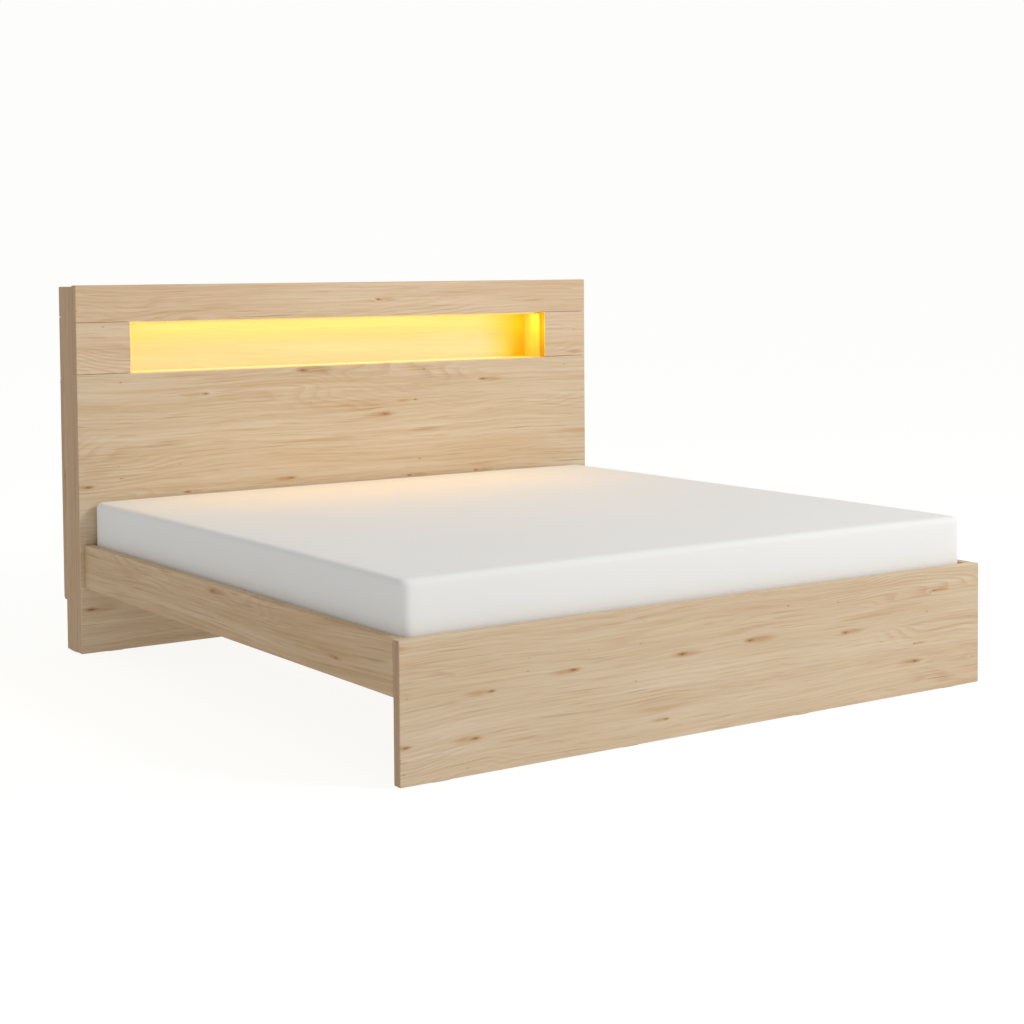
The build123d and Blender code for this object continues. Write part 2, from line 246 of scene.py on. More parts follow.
# The axes in the order along, across and into the board, by the axis that the grain runs along
GRAIN_ORDERS = {"X": "XZY", "Y": "YZX", "Z": "ZYX"}
END_ORDERS = {"X": "ZYX", "Y": "ZXY", "Z": "XYZ"}

# Where each board is cut from the wood: the stride from board to board, and its span, in metres
BOARD_SHIFTS = ((3.17, 7), (5.31, 11), (1.93, 5))

# Knots: cells to the metre along and across the grain, the share of cells that hold one, and the
# half length and half height of what is seen of a knot of size 1, in metres
KNOT_CELLS = (2.6, 6.6)
KNOT_SHARE = 0.46
KNOT_BEND = (0.085, 0.034)
KNOT_SMEAR = (0.095, 0.016)
KNOT_HALO = (0.032, 0.0095)
KNOT_HEART = (0.012, 0.0036)
PIN_KNOT_CELLS = (4.3, 11.5)
PIN_KNOT_SHARE = 0.28
PIN_KNOT = (0.009, 0.0030)
RINGS_PER_METRE = 62.0

# How far the grain sways, how far it parts about a knot, in metres, and how steeply it turns there
SWAY = 0.10
SMALL_SWAY = 0.014
KNOT_PARTING = 0.0065
KNOT_TURN = 140.0

# What differs from board to board: the strength of the grain, its closeness, and the shade. The
# shade is a stain on the footboard and the headboard's lower board, painted shade on the side rails
# and headboard sides, and painted glow on the niche's parts
BOARD_SETTINGS = {
    "footboard": {"closeness": 1.25, "contrast": 0.85, "shade": (0.935, 0.955, 0.97, 1)},
    "headboard_lower_board": {"shade": (0.985, 1.03, 1.06, 1)},
    # Darker side boards: painted shade, matched to the dim left side and given to both sides
    "headboard_side_left": {"contrast": 0.9, "shade": (0.69, 0.60, 0.49, 1)},
    "headboard_side_right": {"contrast": 0.9, "shade": (0.69, 0.60, 0.49, 1)},
    # The cut edge's face towards the niche is tinted amber: painted glow
    "headboard_end_board_right": {"one_face": "X", "shade": (1.25, 1.27, 0.14, 1)},
    "niche_back": {"one_face": "Y"},
    # The niche's floor is paler, painted light from the strip, and amber towards its right end,
    # painted glow
    "niche_floor": {"shade": (1.0, 1.1, 1.5, 1), "painted_end_glow": (1.0, 0.92, 0.12, 1)},
    # The niche's end walls are yellowed: painted glow
    "niche_end_left": {"shade": (1.0, 1.1, 0.5, 1), "painted_end_glow": None},
    "niche_end_right": {"shade": (1.0, 1.1, 0.5, 1), "painted_end_glow": None},
    # Darker rails: painted shade, matched to the dim left rail and given to both rails
    "side_rail_left": {"contrast": 1.3, "shade": (0.82, 0.76, 0.66, 1)},
    "side_rail_right": {"contrast": 1.3, "shade": (0.82, 0.76, 0.66, 1)},
}

# The niche's lining is plain-grained, paler and warmer, with a tint set partly to paint the glow's
# hue and an amber right end that is painted glow; pine and beech make the slatted bases
LINING_SETTINGS = {
    "contrast": 0.35,
    "figure": 0.2,
    "knots": 0.0,
    "shade": (1.0, 0.90, 1.04, 1),
    "painted_end_glow": (1.0, 0.88, 0.06, 1),
}
PINE_SETTINGS = {
    "contrast": 0.8,
    "figure": 0.8,
    "knots": 0.6,
    "band_ends": False,
    "cross_order": "XZY",
}
BEECH_SETTINGS = {"contrast": 0.6, "figure": 0.5, "knots": 0.0, "band_ends": False}

# The lining's painted amber glow comes in between these two places, in metres to the right
PAINTED_END_GLOW_SPAN = (0.62, 0.85)


def grain_place(tree, grain, shift, end_order):
    """Places with the grain first. Faces across the grain can take another order, as edge bands
    on a board's ends and cross rails in a frame do."""
    parts = tree.parts(tree.vector("ADD", tree.place(), shift))

    def ordered(order):
        inputs = {place: parts[axis] for place, axis in enumerate(order)}
        return tree.add("ShaderNodeCombineXYZ", inputs).outputs[0]

    along = ordered(GRAIN_ORDERS[grain])
    if not end_order:
        return along, None
    facing = tree.parts(tree.normal())[grain]
    at_end = tree.math("GREATER_THAN", tree.math("ABSOLUTE", facing), 0.9)
    return tree.mix_vectors(at_end, along, ordered(end_order)), at_end


def knots_in(tree, place, cells_per_metre, share):
    """Knots, at most one to a cell: where a point lies from its own knot, in metres along and
    across the grain, whether there is one, its size, and a chance to draw more from."""
    along, across = cells_per_metre
    scaled = tree.vector("MULTIPLY", place, (along, across, 0))
    inputs = {"Vector": scaled, "Scale": 1.0, "Randomness": 0.95}
    cells = tree.add("ShaderNodeTexVoronoi", inputs, voronoi_dimensions="2D").outputs
    away = tree.vector("SUBTRACT", scaled, cells["Position"])
    away = tree.vector("MULTIPLY", away, (1 / along, 1 / across, 0))
    chances = tree.add("ShaderNodeSeparateColor", {0: cells["Color"]}).outputs
    present = tree.step(chances[0], 1 - share, 1.01 - share)
    size = tree.math("MULTIPLY_ADD", chances[1], 0.85, 0.45)
    return away, present, size, chances[2]


def near_knot(tree, away, size, reach):
    """The distance from a knot, as 1 at the rim of an ellipse about it."""
    half_length, half_height = reach
    shaped = tree.vector("MULTIPLY", away, (1 / half_length, 1 / half_height, 0))
    length = tree.add("ShaderNodeVectorMath", {0: shaped}, operation="LENGTH").outputs["Value"]
    return tree.math("DIVIDE", length, size)


def wood(
    name,
    grain,
    seed,
    tones,
    contrast=1.0,
    figure=1.0,
    knots=1.0,
    closeness=1.0,
    shade=None,
    painted_end_glow=None,
    band_ends=True,
    cross_order=None,
    one_face=None,
):
    """Sawn and oiled wood, whose grain runs along one axis of the object: soft bands, fine fibres
    and faint growth rings, with knots that they bend round and smears beside the knots. The shade, a
    stain on some boards, painted shade on the side boards and painted glow in the niche, goes on all
    of the board, or only on the face that looks down one axis; the painted end glow is an amber tint
    towards the right end."""
    material, tree, shader = finish(name, 0.5, colour=tones["light"][:3])
    shader.inputs["Specular IOR Level"].default_value = 0.3
    shift = tuple(seed * stride % span for stride, span in BOARD_SHIFTS)
    place, at_end = grain_place(tree, grain, shift, END_ORDERS[grain] if band_ends else cross_order)
    if closeness != 1:
        place = tree.vector("MULTIPLY", place, (closeness, closeness, closeness))

    def drawn_out(places, along, across, detail=2, roughness=0.5):
        """Noise in waves to the metre along and across the grain."""
        stretched = tree.vector("MULTIPLY", places, (along, across, across))
        return tree.noise(stretched, detail=detail, roughness=roughness)

    away, present, size, chance = knots_in(tree, place, KNOT_CELLS, KNOT_SHARE * knots)
    above = tree.math("DIVIDE", tree.parts(away)[1], size)
    above = tree.math("MULTIPLY", above, KNOT_TURN)
    above = tree.math("MAXIMUM", tree.math("MINIMUM", above, 1.0), -1.0)
    bend = tree.step(near_knot(tree, away, size, KNOT_BEND), 0.05, 1.0, 1, 0)
    bend = tree.math("MULTIPLY", bend, present)

    # The slow sway of the fibres, which also part round the knots
    across = tree.parts(place)[1]
    sway = tree.math("SUBTRACT", drawn_out(place, 0.7, 2.4, detail=1), 0.5)
    small_sway = tree.math("SUBTRACT", drawn_out(place, 3.2, 9.0, detail=1), 0.5)
    push = tree.math("MULTIPLY", sway, SWAY)
    push = tree.math("MULTIPLY_ADD", small_sway, SMALL_SWAY, push)
    push = tree.math("MULTIPLY_ADD", tree.math("MULTIPLY", bend, above), -KNOT_PARTING, push)
    offset = tree.add("ShaderNodeCombineXYZ", {1: push}).outputs[0]
    flow = tree.vector("ADD", place, offset)

    # The ground: broad bands, fine lines and fibres
    broad = drawn_out(flow, 0.5, 5.0)
    bands = drawn_out(flow, 0.9, 26.0, detail=4, roughness=0.62)
    fine = drawn_out(flow, 2.3, 125.0, detail=4, roughness=0.66)
    fibre = drawn_out(flow, 16.0, 420.0, roughness=0.7)
    tone = tree.math("MULTIPLY_ADD", tree.step(broad, 0.30, 0.70), 0.20, -0.10)
    tone = tree.math("MULTIPLY_ADD", tree.step(bands, 0.32, 0.68), 0.34, tone)
    tone = tree.math("MULTIPLY_ADD", tree.step(fine, 0.30, 0.70), 0.40, tone)
    tone = tree.math("MULTIPLY_ADD", fibre, 0.42, tone)
    tone = tree.math("MULTIPLY_ADD", tree.math("SUBTRACT", tone, 0.58), contrast, 0.42, clamp=True)
    colour = tree.mix(tone, tones["light"], tones["dark"])

    # Soft darker flames, and the smear that trails from one side of each knot
    flames = drawn_out(flow, 2.2, 24.0, detail=3, roughness=0.55)
    flames = tree.math("MULTIPLY", tree.step(flames, 0.56, 0.76), 0.55 * contrast)
    flames = tree.math("MULTIPLY", flames, tree.math("MULTIPLY_ADD", fine, 1.4, 0.1), clamp=True)
    colour = tree.mix(flames, colour, tones["flame"])
    trail = tree.math("MULTIPLY_ADD", chance, 0.12, -0.06)
    aside = tree.vector("SUBTRACT", away, tree.add("ShaderNodeCombineXYZ", {0: trail}).outputs[0])
    smear = tree.step(near_knot(tree, aside, size, KNOT_SMEAR), 0.1, 1.0, 0.9, 0)
    smear = tree.math("MULTIPLY", smear, tree.math("MULTIPLY", present, tree.step(fine, 0.15, 0.6)))
    colour = tree.mix(smear, colour, tones["flame"])

    # Growth rings: contour lines of a long soft noise, clear only in places
    wander = drawn_out(flow, 0.9, 4.6, roughness=0.45)
    field = tree.math("MULTIPLY", tree.math("ADD", across, push), RINGS_PER_METRE)
    field = tree.math("MULTIPLY_ADD", wander, 26.0 * figure, field)
    field = tree.math("MULTIPLY_ADD", fine, 0.6, field)
    ring = tree.math("FRACT", field)
    late = tree.math("MULTIPLY", tree.step(ring, 0.30, 0.90), tree.step(ring, 0.90, 1.0, 1, 0))
    clear = tree.step(drawn_out(place, 1.1, 6.0), 0.48, 0.66, 0.05, 0.55)
    late = tree.math("MULTIPLY", late, clear)
    colour = tree.mix(tree.math("MULTIPLY", late, 0.6 * figure), colour, tones["line"])

    # Short dark dashes, and rarer thin checks
    short = drawn_out(flow, 5.5, 170.0, detail=1, roughness=0.4)
    dashes = tree.math("MULTIPLY", tree.step(short, 0.60, 0.76), 0.40 * contrast)
    colour = tree.mix(dashes, colour, tones["line"])
    thin = drawn_out(flow, 3.0, 130.0, detail=1, roughness=0.4)
    rare = drawn_out(flow, 2.2, 12.0, detail=1)
    check = tree.math("MULTIPLY", tree.step(thin, 0.62, 0.76), tree.step(rare, 0.58, 0.70))
    colour = tree.mix(tree.math("MULTIPLY", check, 0.6 * min(contrast, 1)), colour, tones["streak"])

    # The knots' halos and hearts, and small pin knots between them
    ragged = tree.math("SUBTRACT", drawn_out(place, 70, 230), 0.5)
    halo = tree.math("MULTIPLY_ADD", ragged, 0.7, near_knot(tree, away, size, KNOT_HALO))
    halo = tree.math("MULTIPLY", tree.step(halo, 0.1, 1.0, 0.75, 0), present)
    colour = tree.mix(halo, colour, tones["knot"])
    heart = tree.math("MULTIPLY_ADD", ragged, 2.2, near_knot(tree, away, size, KNOT_HEART))
    heart = tree.math("MULTIPLY", tree.step(heart, 0.1, 1.0, 0.68, 0), present)
    colour = tree.mix(heart, colour, tones["heart"])
    away, present, size, _ = knots_in(tree, place, PIN_KNOT_CELLS, PIN_KNOT_SHARE * knots)
    pin = tree.math("MULTIPLY_ADD", ragged, 1.2, near_knot(tree, away, size, PIN_KNOT))
    pin = tree.math("MULTIPLY", tree.step(pin, 0.1, 1.0, 0.6, 0), present)
    colour = tree.mix(pin, colour, tones["streak"])

    # Edge bands, partly painted shade; the board's shade, a stain on some boards, painted shade on
    # the side boards and painted glow in the niche; and the painted amber end glow
    if band_ends:
        colour = tree.mix(at_end, colour, BAND_AND_PAINTED_SHADE, "MULTIPLY")
    shaded = 1.0
    if one_face:
        shaded = tree.math("LESS_THAN", tree.parts(tree.normal())[one_face], -0.5)
    if shade:
        colour = tree.mix(shaded, colour, shade, "MULTIPLY")
    # Painted amber glow towards the niche's right end
    if painted_end_glow:
        painted_glow_mask = tree.step(tree.parts(tree.place())["X"], *PAINTED_END_GLOW_SPAN)
        painted_glow_mask = tree.math("MULTIPLY", painted_glow_mask, shaded)
        colour = tree.mix(painted_glow_mask, colour, painted_end_glow, "MULTIPLY")
    tree.feed(shader.inputs["Base Color"], colour)

    gloss = tree.math("MULTIPLY_ADD", bands, 0.16, 0.42)
    tree.feed(shader.inputs["Roughness"], gloss)
    pores = tree.math("MULTIPLY_ADD", fibre, 0.6, tree.math("MULTIPLY", late, -0.5))
    tree.feed(shader.inputs["Normal"], tree.bump(pores, 0.0003, 0.35))
    return material


# Metals, plastics and rubber

def clouded(tree, shader, cloud, colour, low):
    """Gives the shader a colour that sinks to a share of itself where the cloud is thin."""
    dark = tuple(part * low for part in colour)
    tree.feed(shader.inputs["Base Color"], tree.mix(cloud, (*dark, 1), (*colour, 1)))


def coated_steel(name, colour):
    """Powder coat: a fine orange peel and slightly uneven gloss."""
    material, tree, shader = finish(name, 0.42, colour=colour)
    place = tree.place()
    peel = tree.noise(place, 900, detail=2)
    cloud = tree.noise(place, 14, detail=3)
    clouded(tree, shader, cloud, colour, 0.93)
    tree.feed(shader.inputs["Roughness"], tree.math("MULTIPLY_ADD", cloud, 0.14, 0.36))
    tree.feed(shader.inputs["Normal"], tree.bump(peel, 0.0002, 0.4))
    return material


def plated_steel(name, colour, roughness, scratch):
    """Plated or drawn metal with fine marks along one direction."""
    material, tree, shader = finish(name, roughness, 1.0, colour)
    stretched = tree.vector("MULTIPLY", tree.place(), scratch)
    marks = tree.noise(stretched, 1.0, detail=3, roughness=0.6)
    spangle = tree.noise(tree.place(), 160, detail=1)
    clouded(tree, shader, spangle, colour, 0.86)
    tree.feed(shader.inputs["Roughness"], tree.math("MULTIPLY_ADD", marks, 0.2, roughness - 0.1))
    tree.feed(shader.inputs["Normal"], tree.bump(marks, 0.00005, 0.5))
    return material


def moulded(name, colour, roughness, grain_size):
    """Moulded plastic or rubber with a fine eroded surface."""
    material, tree, shader = finish(name, roughness, colour=colour)
    place = tree.place()
    erosion = tree.noise(place, grain_size, detail=3, roughness=0.6)
    cloud = tree.noise(place, 22, detail=2)
    clouded(tree, shader, cloud, colour, 0.88)
    tree.feed(shader.inputs["Roughness"], tree.math("MULTIPLY_ADD", erosion, 0.16, roughness - 0.08))
    tree.feed(shader.inputs["Normal"], tree.bump(erosion, 0.0001, 0.5))
    return material


def lit_diffuser(name):
    """Opal plastic lit from behind by close diodes, whose rows it nearly evens out."""
    material, tree, shader = finish(name, 0.4, colour=(0.92, 0.88, 0.78))
    along = tree.parts(tree.place())["X"]
    wave = tree.math("SINE", tree.math("MULTIPLY", along, 2 * math.pi * DIFFUSER_WAVES))
    strength = tree.math("MULTIPLY_ADD", wave, DIFFUSER_WAVE_SHARE * DIFFUSER_GLOW, DIFFUSER_GLOW)
    shader.inputs["Emission Color"].default_value = (*DIFFUSER_COLOUR, 1)
    tree.feed(shader.inputs["Emission Strength"], strength)
    return material


# The cover's knit: the size of a loop, in metres, and its two tones
LOOP_WIDTH = 0.0022
LOOP_HEIGHT = 0.0016
KNIT_LIGHT = (0.885, 0.882, 0.860, 1)
KNIT_DARK = (0.845, 0.845, 0.828, 1)


def knitted_cover(name):
    """A white knit: rows of small loops, soft unevenness and a faint sheen."""
    material, tree, shader = finish(name, 0.9, colour=(0.86, 0.86, 0.85))
    place = tree.place()
    parts = tree.parts(place)
    normal = tree.parts(tree.normal())

    # The loops' rows go round the sides and along the top
    on_top = tree.math("GREATER_THAN", tree.math("ABSOLUTE", normal["Z"]), 0.7)
    on_end = tree.math("GREATER_THAN", tree.math("ABSOLUTE", normal["Y"]), 0.7)
    not_side = tree.math("MAXIMUM", on_top, on_end)
    rows = tree.math("MULTIPLY", parts["Z"], tree.math("SUBTRACT", 1.0, on_top))
    rows = tree.math("MULTIPLY_ADD", parts["Y"], on_top, rows)
    columns = tree.math("MULTIPLY", parts["Y"], tree.math("SUBTRACT", 1.0, not_side))
    columns = tree.math("MULTIPLY_ADD", parts["X"], not_side, columns)
    column_wave = tree.math("SINE", tree.math("MULTIPLY", columns, 2 * math.pi / LOOP_WIDTH))
    column_wave = tree.math("ABSOLUTE", column_wave)
    lean = tree.math("MULTIPLY", column_wave, 0.6)
    row_wave = tree.math("SINE", tree.math("MULTIPLY_ADD", rows, 2 * math.pi / LOOP_HEIGHT, lean))
    loops = tree.math("MULTIPLY", column_wave, row_wave)

    fluff = tree.noise(place, 700, detail=3, roughness=0.65)
    height = tree.math("MULTIPLY_ADD", fluff, 0.8, tree.math("MULTIPLY", loops, 0.5))
    cloud = tree.noise(place, 3.0, detail=3)
    tone = tree.math("MULTIPLY_ADD", fluff, 0.35, tree.math("MULTIPLY", cloud, 0.5))
    tree.feed(shader.inputs["Base Color"], tree.mix(tone, KNIT_LIGHT, KNIT_DARK))
    shader.inputs["Sheen Weight"].default_value = 0.12
    shader.inputs["Sheen Roughness"].default_value = 0.5
    tree.feed(shader.inputs["Normal"], tree.bump(height, 0.0004, 0.35))
    return material


def dress(node, material):
    """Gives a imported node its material, in every slot that it has."""
    slots = nodes[node].data.materials
    for place in range(len(slots)):
        slots[place] = material
    if not slots:
        slots.append(material)


# Boards by the way their grain runs; each board is cut from its own place in the wood
BOARDS = {
    "X": (
        "headboard_lower_board",
        "headboard_top_board",
        "headboard_end_board_left",
        "headboard_end_board_right",
        "headboard_top_panel",
        "niche_floor",
        "niche_ceiling",
        "niche_back",
        "rear_lower_board",
        "rear_upper_board",
        "rear_end_board_left",
        "rear_end_board_right",
        "footboard",
    ),
    "Y": ("side_rail_left", "side_rail_right"),
    "Z": (
        "headboard_side_left",
        "headboard_side_right",
        "headboard_uprights",
        "niche_end_left",
        "niche_end_right",
    ),
}
seed = 1
for grain, names in BOARDS.items():
    for name in names:
        settings = LINING_SETTINGS if name.startswith("niche") else {}
        settings = {**settings, **BOARD_SETTINGS.get(name, {})}
        dress(name, wood(f"oak_{name}", grain, seed, OAK_TONES, **settings))
        seed += 1
for side in ("left", "right"):
    dress(f"base_frame_{side}", wood(f"pine_{side}", "Y", seed, PINE_TONES, **PINE_SETTINGS))
    dress(f"slats_{side}", wood(f"beech_{side}", "X", seed + 1, BEECH_TONES, **BEECH_SETTINGS))
    seed += 2

grey_coat = coated_steel("grey_powder_coat", (0.17, 0.175, 0.18))
zinc = plated_steel("zinc_plate", (0.72, 0.73, 0.75), 0.34, (300, 40, 300))
# The light channel's gold tint is painted amber glow on its aluminium
aluminium = plated_steel("painted_glow_aluminium", (1.0, 0.86, 0.36), 0.3, (8, 900, 900))
black_plastic = moulded("black_plastic", (0.022, 0.022, 0.024), 0.45, 1400)
white_plastic = moulded("white_plastic", (0.80, 0.80, 0.79), 0.42, 1600)
black_rubber = moulded("black_rubber", (0.018, 0.018, 0.018), 0.7, 900)
led_tape = moulded("light_tape", (0.85, 0.82, 0.70), 0.4, 1200)
phosphor = moulded("diode_phosphor", (0.88, 0.72, 0.28), 0.35, 2000)
for name in ("center_beam", "center_legs", "ledger_left", "ledger_right"):
    dress(name, grey_coat)
for name in (
    "corner_brackets",
    "beam_hangers",
    "levelling_screw_foot_end",
    "levelling_screw_head_end",
):
    dress(name, zinc)
for name in ("leg_plugs", "levelling_pad_foot_end", "levelling_pad_head_end"):
    dress(name, black_plastic)
for name in ("slat_caps_left", "slat_caps_right", "mains_gland"):
    dress(name, black_rubber)
for name in ("headboard_glides", "footboard_glides", "light_driver"):
    dress(name, white_plastic)
dress("light_channel", aluminium)
dress("light_strip", led_tape)
dress("light_diffuser", lit_diffuser("opal_diffuser"))


# Objects and plain meshes

def linked(name, data):
    """A new object in the scene."""
    thing = bpy.data.objects.new(name, data)
    bpy.context.scene.collection.objects.link(thing)
    return thing


def new_piece(name, mesh, material):
    piece = linked(name, mesh)
    mesh.materials.append(material)
    for face in mesh.polygons:
        face.use_smooth = True
    return piece


def plain(name, mesh):
    """The mesh that was being shaped, as the data of an object."""
    data = bpy.data.meshes.new(name)
    mesh.to_mesh(data)
    mesh.free()
    return data


# What repeats or winds: each group has its sizes as named inputs and leaves a plain mesh

RIPPLES_PER_METRE = 260.0


def new_group(name, sizes):
    """A geometry group whose named inputs are its sizes, as names and kinds of socket."""
    group = bpy.data.node_groups.new(name, "GeometryNodeTree")
    group.interface.new_socket("Geometry", in_out="OUTPUT", socket_type="NodeSocketGeometry")
    for label, kind in sizes.items():
        group.interface.new_socket(label, in_out="INPUT", socket_type=f"NodeSocket{kind}")
    tree = Tree(group)
    return group, tree, tree.add("NodeGroupInput").outputs


def close_group(tree, geometry, material):
    real = tree.add("GeometryNodeRealizeInstances", {0: geometry}).outputs[0]
    dressed = tree.add("GeometryNodeSetMaterial", {"Geometry": real, "Material": material})
    tree.add("NodeGroupOutput", {0: dressed.outputs[0]})


def row_group():
    """One shape in a straight row, turned the same way at every place."""
    sizes = {
        "Shape": "Object",
        "Count": "Int",
        "Start": "Vector",
        "Step": "Vector",
        "Turn": "Vector",
        "Finish": "Material",
    }
    group, tree, given = new_group("row_of_one_shape", sizes)
    line = tree.add(
        "GeometryNodeMeshLine",
        {"Count": given["Count"], "Start Location": given["Start"], "Offset": given["Step"]},
        mode="OFFSET",
    )
    shape = tree.add("GeometryNodeObjectInfo", {"Object": given["Shape"]})
    turn = tree.add("FunctionNodeEulerToRotation", {0: given["Turn"]})
    inputs = {
        "Points": line.outputs[0],
        "Instance": shape.outputs["Geometry"],
        "Rotation": turn.outputs[0],
    }
    placed = tree.add("GeometryNodeInstanceOnPoints", inputs)
    close_group(tree, placed.outputs[0], given["Finish"])
    return group


def winding_group():
    """A round bead along a helix, or along a ring where its rise is nothing, rippled if asked."""
    sizes = {
        "Radius": "Float",
        "Turns": "Float",
        "Rise": "Float",
        "Bead": "Float",
        "Ripple": "Float",
        "Points": "Int",
        "Sides": "Int",
        "Place": "Vector",
        "Finish": "Material",
    }
    group, tree, given = new_group("bead_along_a_winding", sizes)
    inputs = {
        "Resolution": given["Points"],
        "Rotations": given["Turns"],
        "Start Radius": given["Radius"],
        "End Radius": given["Radius"],
        "Height": given["Rise"],
    }
    path = tree.add("GeometryNodeCurveSpiral", inputs).outputs[0]
    section = tree.add(
        "GeometryNodeCurvePrimitiveCircle", {"Resolution": given["Sides"], "Radius": given["Bead"]}
    )
    bead = tree.add(
        "GeometryNodeCurveToMesh",
        {"Curve": path, "Profile Curve": section.outputs[0], "Fill Caps": True},
    )
    places = tree.add("GeometryNodeInputPosition").outputs[0]
    waves = tree.add("ShaderNodeTexNoise", {"Vector": places, "Scale": RIPPLES_PER_METRE})
    ripple = tree.vector("SUBTRACT", waves.outputs["Color"], (0.5, 0.5, 0.5))
    inputs = {0: ripple, "Scale": given["Ripple"]}
    ripple = tree.add("ShaderNodeVectorMath", inputs, operation="SCALE").outputs[0]
    offset = tree.vector("ADD", ripple, given["Place"])
    moved = tree.add("GeometryNodeSetPosition", {"Geometry": bead.outputs[0], "Offset": offset})
    close_group(tree, moved.outputs[0], given["Finish"])
    return group


def grown(group, values):
    """The plain mesh that a group makes with these sizes."""
    seedling = linked("seedling", bpy.data.meshes.new("seedling"))
    modifier = seedling.modifiers.new("group", "NODES")
    modifier.node_group = group
    for item in group.interface.items_tree:
        if item.in_out == "INPUT":
            modifier[item.identifier] = values[item.name]
    evaluated = seedling.evaluated_get(bpy.context.evaluated_depsgraph_get())
    mesh = bpy.data.meshes.new_from_object(evaluated)
    bpy.data.objects.remove(seedling)
    return mesh


def turned(outline, count, place=(0, 0, 0)):
    """A closed solid turned about its axis from pairs of radius and height; few sides make a nut."""
    mesh = bmesh.new()
    rings = []
    for radius, height in outline:
        ring = []
        for step in range(count if radius else 1):
            turn = 2 * math.pi * step / count
            ring.append(mesh.verts.new((radius * math.cos(turn), radius * math.sin(turn), height)))
        rings.append(ring)
    for one, other in zip(rings, rings[1:]):
        for step in range(count):
            after = (step + 1) % count
            corners = [one[step % len(one)], one[after % len(one)]]
            corners += [other[after % len(other)], other[step % len(other)]]
            mesh.faces.new(dict.fromkeys(corners))
    bmesh.ops.recalc_face_normals(mesh, faces=mesh.faces)
    bmesh.ops.translate(mesh, vec=place, verts=mesh.verts)
    return plain("turned", mesh)


def joined(name, meshes):
    """Several meshes as one."""
    whole = bmesh.new()
    for mesh in meshes:
        whole.from_mesh(mesh)
    return plain(name, whole)


def sharp_piece(name, mesh, material, angle=0.6):
    """A piece of metal or plastic: smooth round its curves and sharp at its corners."""
    mesh.materials.clear()
    piece = new_piece(name, mesh, material)
    mesh.set_sharp_from_angle(angle=angle)
    return piece


rows = row_group()
windings = winding_group()

# Pan-head screws along the ledgers' walls, and in the corner brackets' long legs, in metres
SCREW_SIDES = 16
SCREW_OUTLINE = (
    (0, 0.0003),
    (0.0015, 0.0003),
    (0.0016, 0.0011),
    (0.0028, 0.0010),
    (0.0036, 0.0006),
    (0.0038, 0.0),
    (0, 0.0),
)
LEDGER_SCREWS = 9
LEDGER_SCREW_MARGIN = 0.05
LEDGER_SCREW_RISE = 0.018
STEEL_THICKNESS = 0.003
BRACKET_SCREW_PLACES = (0.028, 0.048)
BRACKET_SCREW_HEIGHTS = (0.272, 0.296)


def make_panel_screws():
    head = linked("screw_head", turned(SCREW_OUTLINE, SCREW_SIDES))
    parts = []
    bracket_low, bracket_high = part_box("corner_brackets")
    for side, word in ((-1, "left"), (1, "right")):
        low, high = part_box(f"ledger_{word}")
        wall = side * (max(abs(low.x), abs(high.x)) - STEEL_THICKNESS)
        turn = (0, -side * math.pi / 2, 0)
        row = {"Shape": head, "Turn": turn, "Finish": zinc}
        place = (wall, low.y + LEDGER_SCREW_MARGIN, low.z + LEDGER_SCREW_RISE)
        step = (0, (high.y - low.y - 2 * LEDGER_SCREW_MARGIN) / (LEDGER_SCREWS - 1), 0)
        parts.append(grown(rows, {**row, "Count": LEDGER_SCREWS, "Start": place, "Step": step}))
        for end, inward in ((bracket_low.y, 1), (bracket_high.y, -1)):
            board = foot_inner if inward > 0 else head_front
            for height in BRACKET_SCREW_HEIGHTS:
                first, second = BRACKET_SCREW_PLACES
                place = (wall, board + inward * first, height)
                step = (0, inward * (second - first), 0)
                parts.append(grown(rows, {**row, "Count": 2, "Start": place, "Step": step}))
    bpy.data.objects.remove(head)
    piece = sharp_piece("panel_screws", joined("panel_screws", parts), zinc)
    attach(piece, "frame")


# The weld round a leg's head, and how far it lies below the top of the leg's plate, in metres
WELD = {
    "Radius": 0.0205,
    "Turns": 1.0,
    "Rise": 0.0,
    "Bead": 0.0019,
    "Ripple": 0.0009,
    "Points": 96,
    "Sides": 10,
}
WELD_DROP = 0.0046


def make_weld_beads():
    """The weld round the head of each centre leg, which stands above its levelling pad."""
    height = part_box("center_legs")[1].z - WELD_DROP
    parts = []
    for pad in ("levelling_pad_foot_end", "levelling_pad_head_end"):
        low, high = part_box(pad)
        middle = (low + high) / 2
        place = (middle.x, middle.y, height)
        parts.append(grown(windings, {**WELD, "Place": place, "Finish": grey_coat}))
    piece = sharp_piece("leg_weld_beads", joined("leg_weld_beads", parts), grey_coat, math.pi)
    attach(piece, "frame")


# A levelling screw: its rod, its hexagon from the pad upwards, and the thread between the
# hexagon and the rod's tip, in metres
ROD_SIDES = 24
ROD_RADIUS = 0.0034
ROD_TIP_RADIUS = 0.0029
ROD_TIP_HEIGHT = 0.0006
HEXAGON_OUTLINE = (
    (0, 0.0),
    (0.0068, 0.0),
    (0.0075, 0.0006),
    (0.0075, 0.0044),
    (0.0068, 0.005),
    (0, 0.005),
)
THREAD = {"Radius": 0.00345, "Bead": 0.0005, "Ripple": 0.0, "Points": 20, "Sides": 5}
THREAD_PITCH = 0.00125
THREAD_START = 0.0055
THREAD_STOP = 0.002


